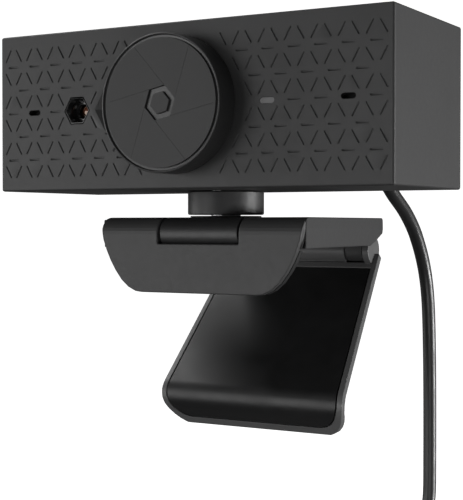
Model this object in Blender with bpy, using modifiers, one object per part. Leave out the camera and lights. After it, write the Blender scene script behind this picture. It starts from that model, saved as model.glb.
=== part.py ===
"""Bar webcam on a folding monitor clip, with its USB cable.

A bar-shaped camera head carries a round privacy cover that slides along the
front panel over a small lens. The head swivels on a short neck, the neck's
plate tilts on the clip, and a hinged leg closes the clip against a screen.

Blender 4.5, metres, +Z up. The origin is the point on the underside of the
clip's seat pad that rests on the screen's top edge: X runs along the bar,
+Y runs from the front panel to the back, +Z is up. Lengths below are written
in millimetres from the lower front edge of the head and moved to that origin
by at().
"""

import math

import bmesh
import bpy
from mathutils import Matrix, Vector

# ------------------------------------------------------------------ sizes, mm
MM = 0.001
SEAT = (0.0, 22.0, -13.4)      # the seat point, from the head's lower front edge
GAP = 0.3                      # between pieces that touch

HEAD_W, HEAD_D, HEAD_H = 100.0, 38.8, 36.4
WALL = 1.8                     # shell walls
PANEL = 2.0                    # front panel
EDGE = 0.5                     # rounding of the head's edges
MID_Z = 18.2                   # the row of lens, cover, light and microphones

LENS_X = -27.8
HEX_R = 3.3                    # lens bezel, corner to centre
MIC_X = 40.0
LED_X = 21.4
MIC_SLOT = (3.4, 1.3)
LED_SLOT = (3.55, 1.4)

COVER_X, COVER_R = -1.0, 15.0
COVER_FRONT, COVER_BACK = -6.8, -0.4
COVER_TRAVEL = 16.0
TRACK_TIP, TRACK_HALF, TRACK_DEEP = -22.8, 4.8, 1.2
STEM_R = 1.5

NECK_Y, NECK_R, NECK_Z = 19.85, 8.8, -5.54
POST_R = 3.4

CLIP_TOP = -6.15
TILT_Y, TILT_Z, TILT_R = 10.8, -9.8, 3.6
LEAF_HALF, LEAF_END, LEAF_T = 10.05, 33.5, 2.0
DECK_UNDER = -9.95
SKIRT_Z, SKIRT_T = -13.05, 1.5
JAW_Y, JAW_T, LINER_T = 6.96, 1.5, 1.5
JAW_BOTTOM = -23.2
CLIP_END = 62.6
CLIP_HALF, CLIP_TAPER = 26.06, 0.095

HINGE_Y, HINGE_Z = 58.6, -14.2
BARREL_R, EAR_R = 2.9, 3.6
PIN_R, PIN_BORE = 1.0, 1.3
LEG_KNEE = (29.8, -48.4)       # front surface at the bend (Y, Z)
LEG_TOE = (36.3, -56.3)        # front surface at the lower edge
LEG_T, LEG_PAD_T = 1.7, 0.6

CABLE_D = 3.5
CABLE_X, CABLE_Z = 26.0, 5.6   # where the cable leaves the rear cover
COIL = (26.0, 72.8, -117.2)    # centre of the tied coil
COIL_IN, COIL_OUT, COIL_HALF = 11.4, 25.4, 7.4


# ------------------------------------------------------------------ helpers
def at(x, y, z):
    """A point given in mm from the head's lower front edge, as the model's metres."""
    return Vector(((x - SEAT[0]) * MM, (y - SEAT[1]) * MM, (z - SEAT[2]) * MM))


for old in list(bpy.data.objects):
    bpy.data.objects.remove(old, do_unlink=True)

parts = bpy.data.collections.new("webcam_on_clip")
cutters = bpy.data.collections.new("webcam_cutters")
for group in (parts, cutters):
    bpy.context.scene.collection.children.link(group)


def material(name, colour, roughness, metallic=0.0, alpha=1.0):
    m = bpy.data.materials.new(name)
    m.use_nodes = True
    s = m.node_tree.nodes["Principled BSDF"]
    s.inputs["Base Color"].default_value = (*colour, 1.0)
    s.inputs["Roughness"].default_value = roughness
    s.inputs["Metallic"].default_value = metallic
    s.inputs["Alpha"].default_value = alpha
    m.diffuse_color = (*colour, alpha)
    return m


def axis_empty(name, place, parent=None):
    """An empty on a joint's axis, which the moving pieces hang on."""
    e = bpy.data.objects.new(name, None)
    e.empty_display_size = 0.01
    e["spot"] = tuple(place)
    e.location = place - (Vector(parent["spot"]) if parent else Vector())
    e.parent = parent
    parts.objects.link(e)
    return e


def finish_object(o, parent):
    """Hangs an object built in world coordinates on its parent empty."""
    if parent is not None:
        o.parent = parent
        o.location = o.location - Vector(parent["spot"])
    return o


def make(name, bm, place, mat=None, parent=None, cutter=False, smooth=True):
    """A mesh object from a bmesh whose points are local to place."""
    bmesh.ops.recalc_face_normals(bm, faces=bm.faces)
    me = bpy.data.meshes.new(name)
    bm.to_mesh(me)
    bm.free()
    o = bpy.data.objects.new(name, me)
    o.location = place
    if cutter:
        cutters.objects.link(o)
        o.hide_render = True
        o.display_type = "WIRE"
    else:
        parts.objects.link(o)
        me.materials.append(material(name, *mat))
        if smooth:
            me.shade_smooth()
            me.set_sharp_from_angle(angle=math.radians(35))
        finish_object(o, parent)
    return o


AXES = {
    "X": Matrix.Rotation(math.pi / 2, 4, "Y"),
    "Y": Matrix.Rotation(-math.pi / 2, 4, "X"),
    "Z": Matrix.Identity(4),
}


def box_into(bm, lo, hi, origin):
    """Adds a box between two corners in mm."""
    a, b = at(*lo), at(*hi)
    got = bmesh.ops.create_cube(bm, size=1.0)["verts"]
    bmesh.ops.scale(bm, vec=b - a, verts=got)
    bmesh.ops.translate(bm, vec=(a + b) / 2 - origin, verts=got)
    return got


def rod_into(bm, axis, centre, r, length, origin, seg=24, r2=None, turn=0.0):
    """Adds a rod or cone of the given length about its centre, r at the low end."""
    m = AXES[axis] @ Matrix.Rotation(turn, 4, "Z")
    return bmesh.ops.create_cone(
        bm, cap_ends=True, segments=seg, radius1=r * MM,
        radius2=(r if r2 is None else r2) * MM, depth=length * MM,
        matrix=Matrix.Translation(at(*centre) - origin) @ m)["verts"]


def box(name, lo, hi, mat=None, parent=None, cutter=False, bevel=0.0, segments=2):
    bm = bmesh.new()
    centre = (at(*lo) + at(*hi)) / 2
    box_into(bm, lo, hi, centre)
    o = make(name, bm, centre, mat, parent, cutter)
    if bevel:
        round_edges(o, bevel, segments)
    return o


def rod(name, axis, centre, r, length, mat=None, parent=None, cutter=False, seg=24,
        r2=None, turn=0.0):
    bm = bmesh.new()
    rod_into(bm, axis, centre, r, length, at(*centre), seg, r2, turn)
    return make(name, bm, at(*centre), mat, parent, cutter)


def outline(name, pts, axis, lo, hi, mat=None, parent=None, cutter=False):
    """A flat outline extruded along an axis between lo and hi, as a welded mesh.

    pts are (Y, Z) pairs for axis X, (X, Z) for axis Y and (X, Y) for axis Z.
    """
    cu = bpy.data.curves.new(name + "_outline", "CURVE")
    cu.dimensions = "2D"
    cu.fill_mode = "BOTH"
    cu.extrude = (hi - lo) / 2 * MM
    sp = cu.splines.new("POLY")
    sp.points.add(len(pts) - 1)
    sp.use_cyclic_u = True
    # the outline's own plane is XY; it is then turned so that its normal is the axis
    for p, (u, v) in zip(sp.points, pts):
        p.co = (u * MM, v * MM, 0, 1)
    mid = (lo + hi) / 2
    turn, base = {
        "X": (Matrix(((0, 0, 1, 0), (1, 0, 0, 0), (0, 1, 0, 0), (0, 0, 0, 1))), (mid, 0, 0)),
        "Y": (Matrix(((1, 0, 0, 0), (0, 0, -1, 0), (0, 1, 0, 0), (0, 0, 0, 1))), (0, mid, 0)),
        "Z": (Matrix.Identity(4), (0, 0, mid)),
    }[axis]
    tmp = bpy.data.objects.new(name + "_outline", cu)
    bpy.context.scene.collection.objects.link(tmp)
    bpy.context.view_layer.update()
    me = bpy.data.meshes.new_from_object(
        tmp.evaluated_get(bpy.context.evaluated_depsgraph_get()))
    bpy.data.objects.remove(tmp, do_unlink=True)
    bpy.data.curves.remove(cu)
    bm = bmesh.new()
    bm.from_mesh(me)
    bpy.data.meshes.remove(me)
    bmesh.ops.remove_doubles(bm, verts=bm.verts, dist=1e-6)
    bmesh.ops.transform(bm, matrix=turn, verts=bm.verts)
    bmesh.ops.dissolve_limit(bm, angle_limit=math.radians(0.5), verts=bm.verts,
                             edges=bm.edges)
    return make(name, bm, at(*base), mat, parent, cutter)


def round_edges(o, width, segments=2, angle=30):
    m = o.modifiers.new("rounded_edges", "BEVEL")
    m.width = width * MM
    m.segments = segments
    m.limit_method = "ANGLE"
    m.angle_limit = math.radians(angle)
    m.harden_normals = False
    return m


def boolean(o, other, operation="DIFFERENCE"):
    m = o.modifiers.new(operation.lower(), "BOOLEAN")
    m.operation = operation
    m.solver = "EXACT"
    m.object = other
    return o


def mirror_pair(lo, hi):
    """The same box on the other side of the X middle."""
    return (-hi[0], lo[1], lo[2]), (-lo[0], hi[1], hi[2])


def stadium(cx, cz, length, height, steps=6):
    r = height / 2
    half = length / 2 - r
    pts = []
    for side, start in ((1, -90), (-1, 90)):
        for k in range(steps + 1):
            a = math.radians(start + 180 * k / steps)
            pts.append((cx + side * half + r * math.cos(a), cz + r * math.sin(a)))
    return pts


def arc(cy, cz, r, a0, a1, steps):
    """Points on an arc, angles in degrees from the first coordinate's axis."""
    return [(cy + r * math.cos(math.radians(a0 + (a1 - a0) * k / steps)),
             cz + r * math.sin(math.radians(a0 + (a1 - a0) * k / steps)))
            for k in range(steps + 1)]


def smooth_route(knots, step):
    """Points about step apart along a Catmull-Rom curve through the knots."""
    ext = [[2 * a - b for a, b in zip(knots[0], knots[1])], *knots,
           [2 * a - b for a, b in zip(knots[-1], knots[-2])]]
    fine = []
    for i in range(1, len(ext) - 2):
        p0, p1, p2, p3 = (Vector(ext[i + k]) for k in (-1, 0, 1, 2))
        for k in range(24):
            t = k / 24
            fine.append(0.5 * ((2 * p1) + (p2 - p0) * t + (2 * p0 - 5 * p1 + 4 * p2 - p3) * t * t
                               + (3 * p1 - p0 - 3 * p2 + p3) * t ** 3))
    fine.append(Vector(knots[-1]))
    total = sum((b - a).length for a, b in zip(fine, fine[1:]))
    count = max(3, round(total / step))
    out, run, k = [fine[0]], 0.0, 1
    for a, b in zip(fine, fine[1:]):
        seg = (b - a).length
        while k < count and run + seg >= total * k / count:
            out.append(a.lerp(b, (total * k / count - run) / seg))
            k += 1
        run += seg
    out.append(fine[-1])
    return out


def tube(name, points, diameter, mat, parent=None, resolution=2):
    """A cable as a POLY curve with a round bevel and filled caps."""
    cu = bpy.data.curves.new(name, "CURVE")
    cu.dimensions = "3D"
    cu.bevel_depth = diameter / 2 * MM
    cu.bevel_resolution = resolution
    cu.use_fill_caps = True
    sp = cu.splines.new("POLY")
    sp.points.add(len(points) - 1)
    first = at(*points[0])
    for p, q in zip(sp.points, points):
        p.co = (*(at(*q) - first), 1)
    sp.use_smooth = True
    cu.materials.append(material(name, *mat))
    o = bpy.data.objects.new(name, cu)
    o.location = first
    parts.objects.link(o)
    return finish_object(o, parent)


# ------------------------------------------------------------------ joint axes
tilt_axis = axis_empty("tilt_axis", at(0, TILT_Y, TILT_Z))
swivel_axis = axis_empty("swivel_axis", at(0, NECK_Y, NECK_Z), tilt_axis)
cover_axis = axis_empty("cover_slide_axis", at(COVER_X, COVER_BACK, MID_Z), swivel_axis)
leg_axis = axis_empty("leg_axis", at(0, HINGE_Y, HINGE_Z))

HEAD = (0.055, 0.055, 0.056)
DARK = (0.028, 0.028, 0.029)
RUBBER = (0.012, 0.012, 0.013)
STEEL = (0.55, 0.55, 0.56)

# ------------------------------------------------------------------ camera head
SCREWS = [(sx * 45.4, z) for sx in (-1, 1) for z in (5.2, 31.2)]
STUDS = [(-12.0, 30.5), (12.0, 30.5), (-38.0, 7.5), (34.0, 7.5)]
BOARD = (11.8, 12.8)           # front and back of the circuit board

shell = box("front_housing", (-HEAD_W / 2, 0, 0), (HEAD_W / 2, HEAD_D, HEAD_H),
            (HEAD, 0.55), swivel_axis, bevel=EDGE)
boolean(shell, box("cut_cavity", (-HEAD_W / 2 + WALL, PANEL, WALL),
                   (HEAD_W / 2 - WALL, HEAD_D + 2, HEAD_H - WALL), cutter=True))
bm = bmesh.new()
for x, z in SCREWS:            # corner posts for the rear cover's screws
    rod_into(bm, "Y", (x, (PANEL - 0.6 + 36.6) / 2, z), 2.2, 36.6 - PANEL + 0.6, at(0, 0, 0), 12)
for x, z in STUDS:             # short posts that carry the circuit board
    rod_into(bm, "Y", (x, (PANEL - 0.6 + BOARD[0] - GAP) / 2, z), 1.7,
             BOARD[0] - GAP - PANEL + 0.6, at(0, 0, 0), 12)
boolean(shell, make("add_posts", bm, at(0, 0, 0), cutter=True), "UNION")
bm = bmesh.new()
for x, z in SCREWS:
    rod_into(bm, "Y", (x, 33.0, z), 1.1, 9.0, at(0, 0, 0), 8)
for x, z in STUDS:
    rod_into(bm, "Y", (x, 9.5, z), 0.8, 6.0, at(0, 0, 0), 8)
boolean(shell, make("cut_screw_holes", bm, at(0, 0, 0), cutter=True))
boolean(shell, rod("cut_lens_hex", "Y", (LENS_X, 1.0, MID_Z), HEX_R + 0.3, 6, cutter=True,
                   seg=6, turn=math.pi / 6))
for side, x in (("left", -MIC_X), ("right", MIC_X)):
    boolean(shell, outline("cut_mic_" + side, stadium(x, MID_Z, *MIC_SLOT), "Y", -1, 4,
                           cutter=True))
boolean(shell, outline("cut_led", stadium(LED_X, MID_Z, *LED_SLOT), "Y", -1, 4, cutter=True))
tip = TRACK_HALF / math.tan(math.radians(60))
right_end = COVER_X + 11.0
boolean(shell, outline("cut_track", [
    (TRACK_TIP, MID_Z), (TRACK_TIP + tip, MID_Z - TRACK_HALF), (right_end - tip, MID_Z - TRACK_HALF),
    (right_end, MID_Z), (right_end - tip, MID_Z + TRACK_HALF), (TRACK_TIP + tip, MID_Z + TRACK_HALF),
], "Y", -1, TRACK_DEEP, cutter=True))
slot_lo, slot_hi = COVER_X - COVER_TRAVEL - STEM_R - 0.5, COVER_X + STEM_R + 0.5
boolean(shell, outline("cut_slide_slot", stadium((slot_lo + slot_hi) / 2, MID_Z,
                                                 slot_hi - slot_lo, 2 * STEM_R + 0.8),
                       "Y", -1, 4, cutter=True))
boolean(shell, rod("cut_post_hole", "Z", (0, NECK_Y, 1.0), POST_R + 0.3, 6, cutter=True, seg=24))

rear = box("rear_cover", (-HEAD_W / 2 + WALL + GAP, 36.9, WALL + GAP),
           (HEAD_W / 2 - WALL - GAP, HEAD_D, HEAD_H - WALL - GAP), (HEAD, 0.6), swivel_axis)
for name, y, r, long in (("cut_cover_screw_holes", 37.5, 1.2, 3.0), ("cut_cover_screw_seats", 38.9, 2.1, 1.8)):
    bm = bmesh.new()
    for x, z in SCREWS:
        rod_into(bm, "Y", (x, y, z), r, long, at(0, 0, 0), 12)
    boolean(rear, make(name, bm, at(0, 0, 0), cutter=True))
boolean(rear, rod("cut_cable_hole", "Y", (CABLE_X, 38.0, CABLE_Z), 2.9, 6, cutter=True, seg=24))

for i, (x, z) in enumerate(SCREWS, 1):   # four pan-head screws into the corner posts
    screw = rod(f"housing_screw_{i}", "Y", (x, 38.35, z), 1.8, 0.7, (STEEL, 0.35, 1.0),
                swivel_axis, seg=12)
    boolean(screw, rod(f"add_screw_shank_{i}", "Y", (x, 33.9, z), 0.8, 8.6, cutter=True, seg=8),
            "UNION")

board = box("main_board", (-42.4, BOARD[0], 4.0), (42.4, BOARD[1], 32.6),
            ((0.02, 0.09, 0.04), 0.5), swivel_axis)
bm = bmesh.new()
for x, z in STUDS:
    rod_into(bm, "Y", (x, 12.3, z), 1.1, 3.0, at(0, 0, 0), 12)
boolean(board, make("cut_board_holes", bm, at(0, 0, 0), cutter=True))
for i, (x, z) in enumerate(STUDS, 1):
    screw = rod(f"board_screw_{i}", "Y", (x, 13.6, z), 1.6, 1.0, (STEEL, 0.35, 1.0), swivel_axis,
                seg=12)
    boolean(screw, rod(f"add_board_shank_{i}", "Y", (x, 10.6, z), 0.5, 5.4, cutter=True, seg=8),
            "UNION")
box("image_processor", (-8.0, BOARD[1] + GAP, 16.0), (3.0, BOARD[1] + GAP + 1.2, 27.0),
    ((0.015, 0.015, 0.016), 0.4), swivel_axis)
header = box("cable_header", (28.0, BOARD[1] + GAP, 12.0), (37.0, BOARD[1] + GAP + 4.2, 18.0),
             ((0.75, 0.73, 0.66), 0.5), swivel_axis)

# lens, seen from the front: hexagonal bezel, front glass, barrel, holder, sensor
bezel = rod("lens_bezel", "Y", (LENS_X, 1.3, MID_Z), HEX_R, 2.6, ((0.012, 0.012, 0.013), 0.25),
            swivel_axis, seg=6, turn=math.pi / 6)
boolean(bezel, rod("cut_bezel_funnel", "Y", (LENS_X, 0.6, MID_Z), 2.95, 2.4, cutter=True,
                   seg=24, r2=2.1))
boolean(bezel, rod("cut_bezel_hole", "Y", (LENS_X, 2.0, MID_Z), 2.2, 4, cutter=True, seg=24))
barrel = rod("lens_barrel", "Y", (LENS_X, 6.55, MID_Z), 3.3, 6.9, (DARK, 0.35), swivel_axis)
boolean(barrel, rod("cut_barrel_bore", "Y", (LENS_X, 6.5, MID_Z), 2.3, 9, cutter=True))
rod("front_lens", "Y", (LENS_X, 3.9, MID_Z), 2.0, 1.2, ((0.10, 0.06, 0.04), 0.05), swivel_axis)
rod("rear_lens", "Y", (LENS_X, 8.0, MID_Z), 2.0, 1.0, ((0.10, 0.10, 0.12), 0.05), swivel_axis)
holder = box("lens_holder", (LENS_X - 5.6, 6.2, MID_Z - 5.6), (LENS_X + 5.6, BOARD[0] - GAP, MID_Z + 5.6),
             (DARK, 0.5), swivel_axis)
boolean(holder, rod("cut_holder_bore", "Y", (LENS_X, 7.0, MID_Z), 3.6, 8, cutter=True))
boolean(holder, box("cut_holder_bay", (LENS_X - 4, 10.2, MID_Z - 4), (LENS_X + 4, 13, MID_Z + 4),
                    cutter=True))
box("image_sensor", (LENS_X - 3.2, BOARD[0] - GAP - 0.9, MID_Z - 3.2),
    (LENS_X + 3.2, BOARD[0] - GAP, MID_Z + 3.2), ((0.03, 0.03, 0.04), 0.2), swivel_axis)

# status light and microphones
pipe = outline("light_pipe", stadium(LED_X, MID_Z, LED_SLOT[0] - 0.6, LED_SLOT[1] - 0.6), "Y",
               0.05, 10.4, ((0.45, 0.45, 0.46), 0.3), swivel_axis)
boolean(pipe, box("add_pipe_flange", (LED_X - 2.9, PANEL + GAP, MID_Z - 1.6),
                  (LED_X + 2.9, PANEL + GAP + 1.0, MID_Z + 1.6), cutter=True), "UNION")
box("status_led", (LED_X - 0.8, BOARD[0] - GAP - 0.6, MID_Z - 0.6),
    (LED_X + 0.8, BOARD[0] - GAP, MID_Z + 0.6), ((0.8, 0.8, 0.75), 0.3), swivel_axis)
for side, x in (("left", -MIC_X), ("right", MIC_X)):
    mesh_insert = outline("mic_screen_" + side,
                          stadium(x, MID_Z, MIC_SLOT[0] - 0.6, MIC_SLOT[1] - 0.6), "Y", 0.5, 2.9,
                          ((0.008, 0.008, 0.008), 0.8), swivel_axis)
    boolean(mesh_insert, box("add_screen_flange_" + side, (x - 2.3, PANEL + GAP, MID_Z - 1.4),
                             (x + 2.3, PANEL + GAP + 0.8, MID_Z + 1.4), cutter=True), "UNION")
    gasket = rod("mic_gasket_" + side, "Y", (x, 6.8, MID_Z), 2.2, 6.4, (RUBBER, 0.8), swivel_axis,
                 seg=16)
    boolean(gasket, rod("cut_gasket_" + side, "Y", (x, 6.8, MID_Z), 0.9, 8, cutter=True, seg=12))
    box("microphone_" + side, (x - 1.9, BOARD[0] - GAP - 1.1, MID_Z - 1.5),
        (x + 1.9, BOARD[0] - GAP, MID_Z + 1.5), ((0.6, 0.58, 0.5), 0.35, 0.8), swivel_axis)

# ------------------------------------------------------------------ privacy cover
disc = rod("cover_disc", "Y", (COVER_X, (COVER_FRONT + COVER_BACK) / 2, MID_Z), COVER_R,
           COVER_BACK - COVER_FRONT, (HEAD, 0.5), cover_axis, seg=48)
round_edges(disc, 0.35, 1, 60)
boolean(disc, rod("cut_disc_front", "Y", (COVER_X, COVER_FRONT, MID_Z), 14.55, 1.4, cutter=True,
                  seg=48))
hollow = rod("cut_disc_hollow", "Y", (COVER_X, -1.2, MID_Z), 13.4, 6.4, cutter=True, seg=32)
boolean(hollow, rod("keep_disc_boss", "Y", (COVER_X, -2.0, MID_Z), 3.4, 9, cutter=True, seg=16))
boolean(disc, hollow)
boolean(disc, rod("cut_disc_stem", "Y", (COVER_X, -1.6, MID_Z), STEM_R + 0.3, 5.0, cutter=True,
                  seg=16))
inlay = rod("cover_inlay", "Y", (COVER_X, COVER_FRONT + 0.2, MID_Z), 13.35, 0.4, (HEAD, 0.6),
            cover_axis, seg=48)
slider = rod("cover_slider", "Y", (COVER_X, 0.15, MID_Z), STEM_R, 7.1, (DARK, 0.4), cover_axis,
             seg=16)
boolean(slider, box("add_slider_plate", (COVER_X - 5, PANEL + GAP, MID_Z - 3.8),
                    (COVER_X + 5, PANEL + GAP + 1.4, MID_Z + 3.8), cutter=True), "UNION")

# ------------------------------------------------------------------ neck and swivel
collar = rod("neck_collar", "Z", (0, NECK_Y, (NECK_Z - 0.2) / 2), NECK_R, -NECK_Z - 0.2,
             (DARK, 0.45), swivel_axis, seg=36)
round_edges(collar, 0.25, 1, 60)
boolean(collar, rod("cut_collar_bore", "Z", (0, NECK_Y, -3), POST_R + 0.3, 9, cutter=True))
ring = rod("swivel_ring", "Z", (0, NECK_Y, -5.96), 8.2, 0.3, (RUBBER, 0.6), tilt_axis, seg=36)
boolean(ring, rod("cut_ring_bore", "Z", (0, NECK_Y, -6), 5.0, 3, cutter=True))
post = rod("swivel_post", "Z", (0, NECK_Y, -0.9), POST_R, 13.4, (STEEL, 0.35, 1.0), tilt_axis)
boolean(post, rod("add_post_flange", "Z", (0, NECK_Y, -7.6), 4.7, 0.8, cutter=True), "UNION")
washer = rod("wave_washer", "Z", (0, NECK_Y, 2.4), 6.0, 0.6, (STEEL, 0.3, 1.0), tilt_axis)
boolean(washer, rod("cut_washer_bore", "Z", (0, NECK_Y, 2.4), POST_R + 0.3, 3, cutter=True))
nut = rod("swivel_nut", "Z", (0, NECK_Y, 4.3), 6.2, 2.6, (STEEL, 0.35, 1.0), tilt_axis, seg=6)
boolean(nut, rod("cut_nut_bore", "Z", (0, NECK_Y, 4.3), POST_R + 0.3, 5, cutter=True))

# ------------------------------------------------------------------ tilting plate
leaf_pts = ([(TILT_Y, CLIP_TOP)]
            + arc(TILT_Y, TILT_Z, TILT_R, 96, 384, 24)
            + [(LEAF_END, CLIP_TOP - LEAF_T), (LEAF_END, CLIP_TOP)])
leaf = outline("tilt_plate", leaf_pts, "X", -LEAF_HALF, LEAF_HALF, (DARK, 0.5), tilt_axis)
boolean(leaf, rod("cut_leaf_pin", "X", (0, TILT_Y, TILT_Z), PIN_BORE, 30, cutter=True, seg=16))
boolean(leaf, rod("cut_leaf_post", "Z", (0, NECK_Y, -7), POST_R + 0.3, 6, cutter=True))
boolean(leaf, rod("cut_leaf_flange", "Z", (0, NECK_Y, -8.1), 5.0, 2.0, cutter=True))

# ------------------------------------------------------------------ clip frame
def half_width(y):
    return CLIP_HALF - CLIP_TAPER * (y - 10.0)


side_profile = ([(CLIP_END - 0.5, CLIP_TOP)] + arc(10.8, CLIP_TOP - 3.84, 3.84, 90, 180, 8)
                + [(JAW_Y, JAW_BOTTOM), (JAW_Y + JAW_T, JAW_BOTTOM), (JAW_Y + JAW_T, SKIRT_Z),
                   (54.6, SKIRT_Z), (58.4, -11.9), (CLIP_END + 0.2, -10.1),
                   (CLIP_END, CLIP_TOP - 0.6)])
frame = outline("clip_frame", side_profile, "X", -30, 30, (HEAD, 0.55))
plan_y = (5.0, 64.0)
boolean(frame, outline("trim_plan", [(-half_width(5) - 0.0, 5), (half_width(5), 5),
                                     (half_width(64), 64), (-half_width(64), 64)],
                       "Z", -30, 0, cutter=True), "INTERSECT")
jaw_edge = [(26.06, -8.8), (25.6, -11.3), (24.7, -13.7), (23.6, -16.0), (22.2, -18.3),
            (20.5, -20.5), (18.6, -22.1), (16.65, -23.0), (15.0, JAW_BOTTOM)]
jaw_cut = outline("trim_jaw", [(26.3, 0)] + jaw_edge + [(-x, z) for x, z in reversed(jaw_edge)]
                  + [(-26.3, 0)], "Y", -2, 8.6, cutter=True)
rest = outline("trim_rest", [(40, 0), (40, -40), (-40, -40), (-40, 0)], "Y", 8.6, 70, cutter=True)
boolean(jaw_cut, rest, "UNION")
boolean(frame, jaw_cut, "INTERSECT")
# side skirts lean inwards below their upper band
lean = 0.6
for s, side in ((1, "right"), (-1, "left")):
    wedge = outline("trim_skirt_" + side, [(0, -8.9), (4, -8.9), (4, -14.5),
                                           (-lean * 5.6 / 4.15, -14.5)], "Y", 0, 70, cutter=True)
    # follows the taper of the frame's sides in plan
    me = wedge.data
    for v in me.vertices:
        y_mm = v.co.y / MM + 35.0
        v.co.x = s * (v.co.x + half_width(y_mm) * MM)
    if s < 0:
        me.flip_normals()
    m = bmesh.new()
    m.from_mesh(me)
    back = [v for v in m.verts if v.co.y * 1000 + 35.0 < 8.8]
    for v in back:
        v.co.y = (8.8 - 35.0) * MM
        x = abs(v.co.x) / MM - half_width(0) + half_width(8.8)
        v.co.x = s * x * MM
    m.to_mesh(me)
    m.free()
    boolean(frame, wedge)
# hollow underside, knuckle bay, plate recess
inner = [(half_width(y) - SKIRT_T, y) for y in (15.5, 64.0)]
boolean(frame, outline("cut_underside", [(-inner[0][0], 15.5), (inner[0][0], 15.5),
                                         (inner[1][0], 64.0), (-inner[1][0], 64.0)],
                       "Z", -15, DECK_UNDER, cutter=True))
boolean(frame, box("cut_front_underside", (14.2, JAW_Y + JAW_T, -15), (23.0, 15.6, DECK_UNDER),
                   cutter=True))
boolean(frame, box("cut_front_underside_left", (-23.0, JAW_Y + JAW_T, -15),
                   (-14.2, 15.6, DECK_UNDER), cutter=True))
boolean(frame, box("cut_plate_recess", (-LEAF_HALF - 0.5, 0, CLIP_TOP - LEAF_T - GAP),
                   (LEAF_HALF + 0.5, LEAF_END + 0.5, 0), cutter=True))
boolean(frame, box("cut_knuckle_notch", (-LEAF_HALF - 0.5, 0, -12.1),
                   (LEAF_HALF + 0.5, 10.8, 0), cutter=True))
boolean(frame, rod("cut_knuckle_bay", "X", (0, TILT_Y, TILT_Z), TILT_R + 0.35,
                   2 * LEAF_HALF + 1.0, cutter=True, seg=40))
boolean(frame, box("cut_knuckle_below", (-LEAF_HALF - 0.5, JAW_Y + JAW_T, -16),
                   (LEAF_HALF + 0.5, TILT_Y + TILT_R + 0.35, TILT_Z), cutter=True))
boolean(frame, rod("cut_tilt_pin", "X", (0, TILT_Y, TILT_Z), PIN_BORE, 26.4, cutter=True, seg=16))
# the seat platform and the two fixed hinge lugs
boolean(frame, box("add_seat_platform", (-17, 17.0, -11.9), (17, 36.0, DECK_UNDER + 0.4),
                   cutter=True, bevel=0.0), "UNION")
bm = bmesh.new()
for s in (-1, 1):
    rod_into(bm, "X", (s * 15.9, HINGE_Y, HINGE_Z), BARREL_R, 4.6, at(0, 0, 0), 28)
lugs = make("add_hinge_lugs", bm, at(0, 0, 0), cutter=True)
bm = bmesh.new()
for s in (-1, 1):
    box_into(bm, (s * 15.9 - 2.3, HINGE_Y - BARREL_R, HINGE_Z),
             (s * 15.9 + 2.3, HINGE_Y + 0.6, DECK_UNDER + 0.4), at(0, 0, 0))
boolean(lugs, make("add_lug_webs", bm, at(0, 0, 0), cutter=True), "UNION")
boolean(frame, rod("cut_ear_room", "X", (0, HINGE_Y, HINGE_Z), 4.12, 40.9, cutter=True, seg=40))
boolean(frame, lugs, "UNION")
boolean(frame, rod("cut_hinge_bore", "X", (0, HINGE_Y, HINGE_Z), PIN_BORE, 39, cutter=True,
                   seg=16))

liner_edge = [(25.9, -10.3), (25.55, -11.3), (24.65, -13.7), (23.55, -16.0), (22.15, -18.3),
              (20.45, -20.5), (18.55, -22.1), (16.6, -23.0), (15.0, JAW_BOTTOM)]
liner_y = JAW_Y + JAW_T + GAP
liner_half = [(14.6, -14.2), (14.6, -10.3), (22.6, -10.3), (22.6, -13.4), (24.75, -13.4)] + liner_edge[2:]
outline("jaw_liner", liner_half + [(-x, z) for x, z in reversed(liner_half)], "Y", liner_y,
        liner_y + LINER_T, (RUBBER, 0.75))
seat_pad = box("seat_pad", (-16.5, 17.5, SEAT[2]), (16.5, 35.5, -12.2), (RUBBER, 0.8), bevel=0.3,
               segments=1)
rod("tilt_pin", "X", (0, TILT_Y, TILT_Z), PIN_R, 25.6, (STEEL, 0.3, 1.0), seg=16)
rod("hinge_pin", "X", (0, HINGE_Y, HINGE_Z), PIN_R, 37.6, (STEEL, 0.3, 1.0), seg=16)

# ------------------------------------------------------------------ hinged leg
def leg_path(offset, start=0.0, end=1.0):
    """The leg's side profile line at an offset behind its front surface: straight from the
    hinge to the knee, round the bend, and straight to the toe."""
    ky, kz = LEG_KNEE
    # the straight part's direction, from the hinge down to the knee
    down = Vector((-0.666, -0.746)).normalized()
    toe = (Vector(LEG_TOE) - Vector(LEG_KNEE)).normalized()
    turn = math.acos(max(-1, min(1, down.dot(toe))))
    r_front = 5.2              # outside radius of the bend, on the front surface
    cut = r_front * math.tan(turn / 2)
    knee = Vector(LEG_KNEE) + down * 1.6
    first = knee - down * cut
    normal = Vector((-down.y, down.x))          # to the rear of the straight part
    if normal.x < 0:
        normal = -normal
    centre = first + normal * r_front
    a0 = math.atan2(-normal.y, -normal.x)
    sweep = turn if down.cross(toe) > 0 else -turn
    r = r_front - offset
    top = Vector((HINGE_Y, HINGE_Z))
    along = (knee - top).dot(down)
    head = knee - down * along + normal * offset
    pts = [head + down * start]
    for k in range(9):
        a = a0 + sweep * k / 8
        pts.append(centre + r * Vector((math.cos(a), math.sin(a))))
    foot_normal = Vector((-toe.y, toe.x))
    if foot_normal.dot(normal) < 0 and foot_normal.dot(-down) < 0:
        foot_normal = -foot_normal
    last = centre + r * Vector((math.cos(a0 + sweep), math.sin(a0 + sweep)))
    reach = (Vector(LEG_TOE) - last).dot(toe) + end - 1.0
    pts.append(last + toe * reach)
    return [tuple(p) for p in pts]


def leg_half(z):
    return 24.65 - 0.101 * (z + 48.4)


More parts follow.
